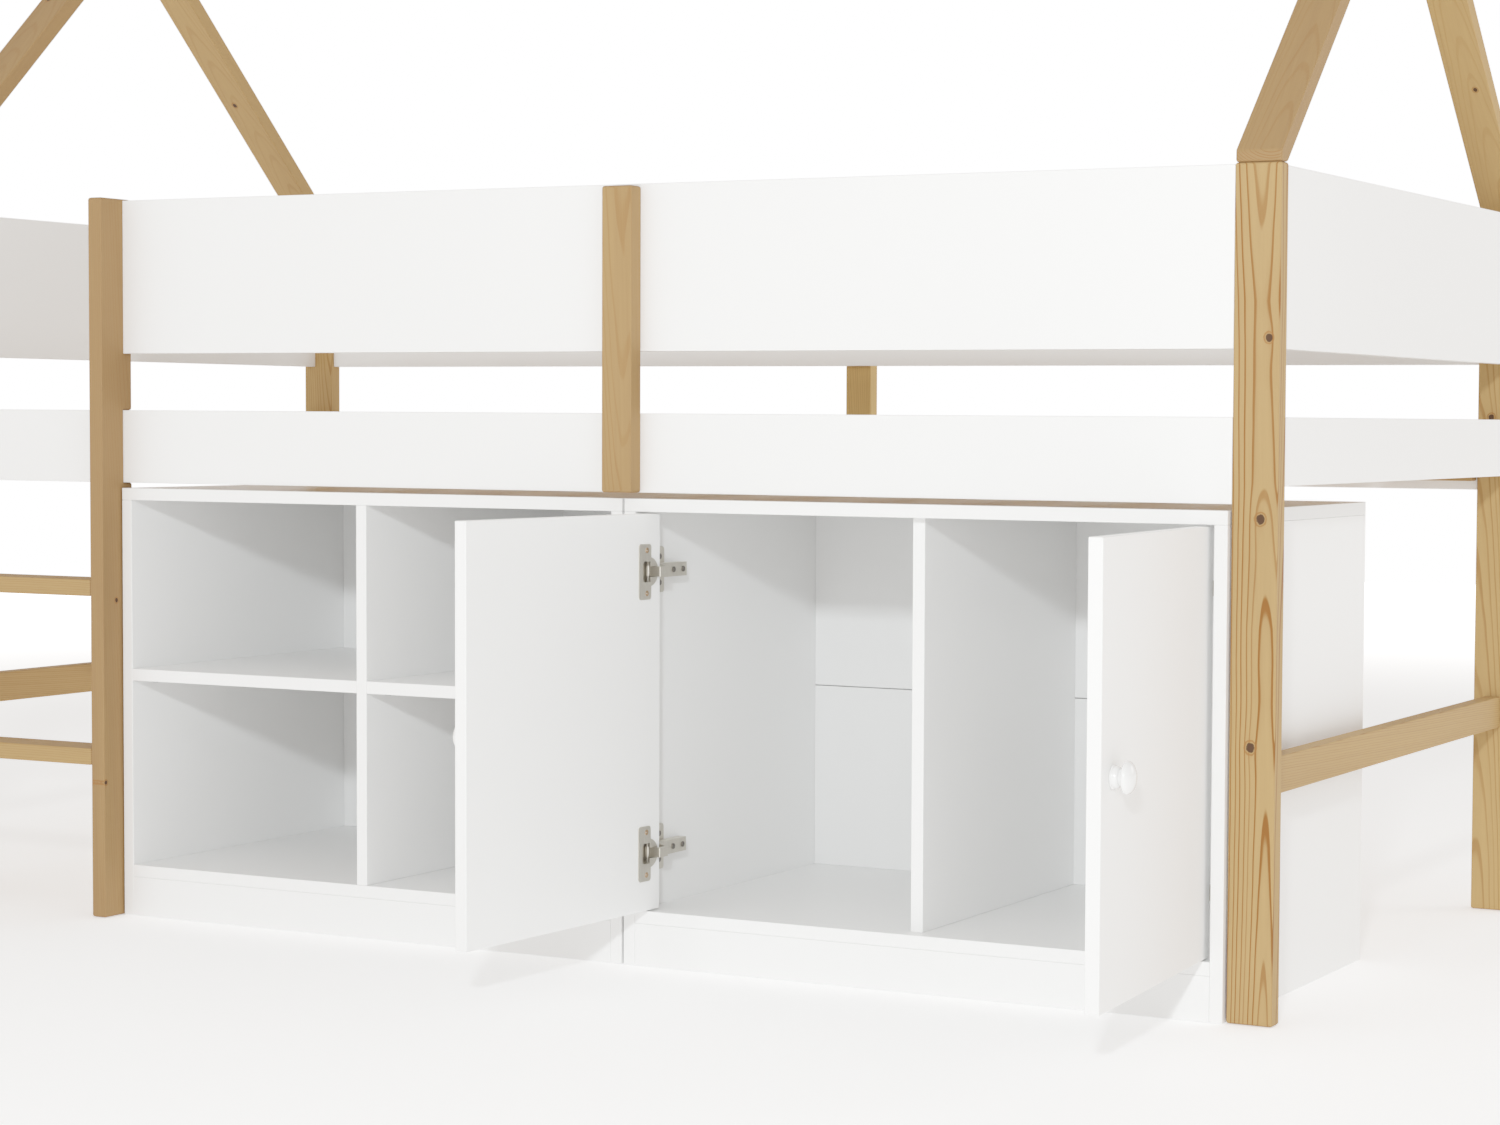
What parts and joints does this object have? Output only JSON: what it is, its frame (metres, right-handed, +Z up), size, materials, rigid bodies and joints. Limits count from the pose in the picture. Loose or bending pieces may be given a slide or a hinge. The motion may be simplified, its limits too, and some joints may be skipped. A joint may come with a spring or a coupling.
{
  "type": "cabin bed",
  "caption": "Mid-height cabin bed with a gabled pine frame, white guard boards, a ladder, an open shelf cabinet and a two-door cupboard underneath.",
  "frame": {"origin": "on the floor, under the centre of the whole outline with both doors standing open as stored", "axes": "+X along the bed's length towards the cupboard end, +Y from the cabinet fronts to the back, +Z up"},
  "size_m": [2.056, 1.3236, 1.4244],
  "materials": {
    "pine": "clear satin lacquer on knotty pine",
    "white_lacquered_board": "white melamine-faced board, fine satin",
    "white_knob": "gloss white",
    "beech": "bare fluted dowel",
    "hinge_nickel": "nickel-plated pressed steel",
    "zinc_steel": "zinc-plated"
  },
  "bodies": {
    "bed": {"post_front_left": "pine", "post_front_right": "pine", "post_back_left": "pine", "post_back_right": "pine", "ladder_stile_left": "pine", "ladder_stile_right": "pine", "ladder_treads": "pine", "upright_front": "pine", "upright_back": "pine", "rafter_front_left": "pine", "rafter_front_right": "pine", "rafter_back_left": "pine", "rafter_back_right": "pine", "ridge_beam": "pine", "end_rail_left": "pine", "end_rail_right": "pine", "guard_front": "white_lacquered_board", "guard_back": "white_lacquered_board", "guard_left": "white_lacquered_board", "guard_right": "white_lacquered_board", "side_board_front": "white_lacquered_board", "side_board_back": "white_lacquered_board", "end_board_left": "white_lacquered_board", "end_board_right": "white_lacquered_board", "slat_ledgers": "pine", "bed_slats": "pine", "cam_discs": "zinc_steel", "cam_bolts": "zinc_steel", "dowels": "beech", "upright_screws": "zinc_steel", "open_unit_top": "white_lacquered_board", "open_unit_side_left": "white_lacquered_board", "open_unit_side_right": "white_lacquered_board", "open_unit_divider": "white_lacquered_board", "open_unit_bottom": "white_lacquered_board", "open_unit_shelves": "white_lacquered_board", "open_unit_plinths": "white_lacquered_board", "open_unit_backs": "white_lacquered_board", "cupboard_top": "white_lacquered_board", "cupboard_side_left": "white_lacquered_board", "cupboard_side_right": "white_lacquered_board", "cupboard_divider": "white_lacquered_board", "cupboard_bottom": "white_lacquered_board", "cupboard_plinths": "white_lacquered_board", "cupboard_backs": "white_lacquered_board", "shelf_pins": "zinc_steel", "hinge_plates": "hinge_nickel", "hinge_arms": "hinge_nickel", "hinge_screws": "zinc_steel"},
    "door_left": {"door_left": "white_lacquered_board", "knob_left": "white_knob", "hinge_cups_left": "hinge_nickel", "hinge_pins_left": "zinc_steel", "door_screws_left": "hinge_nickel"},
    "door_right": {"door_right": "white_lacquered_board", "knob_right": "white_knob", "hinge_cups_right": "hinge_nickel", "hinge_pins_right": "zinc_steel", "door_screws_right": "hinge_nickel"}
  },
  "joints": [
    {"name": "door_left_hinge", "type": "hinge", "parent": "bed", "child": "door_left", "pos_m": [0.218, -0.30133, 0.311], "axis": [0, 0, -1], "range_deg": [-93.2, 11.8]},
    {"name": "door_right_hinge", "type": "hinge", "parent": "bed", "child": "door_right", "pos_m": [0.942, -0.30133, 0.311], "axis": [0, 0, 1], "range_deg": [-94.5, 10.5]}
  ]
}
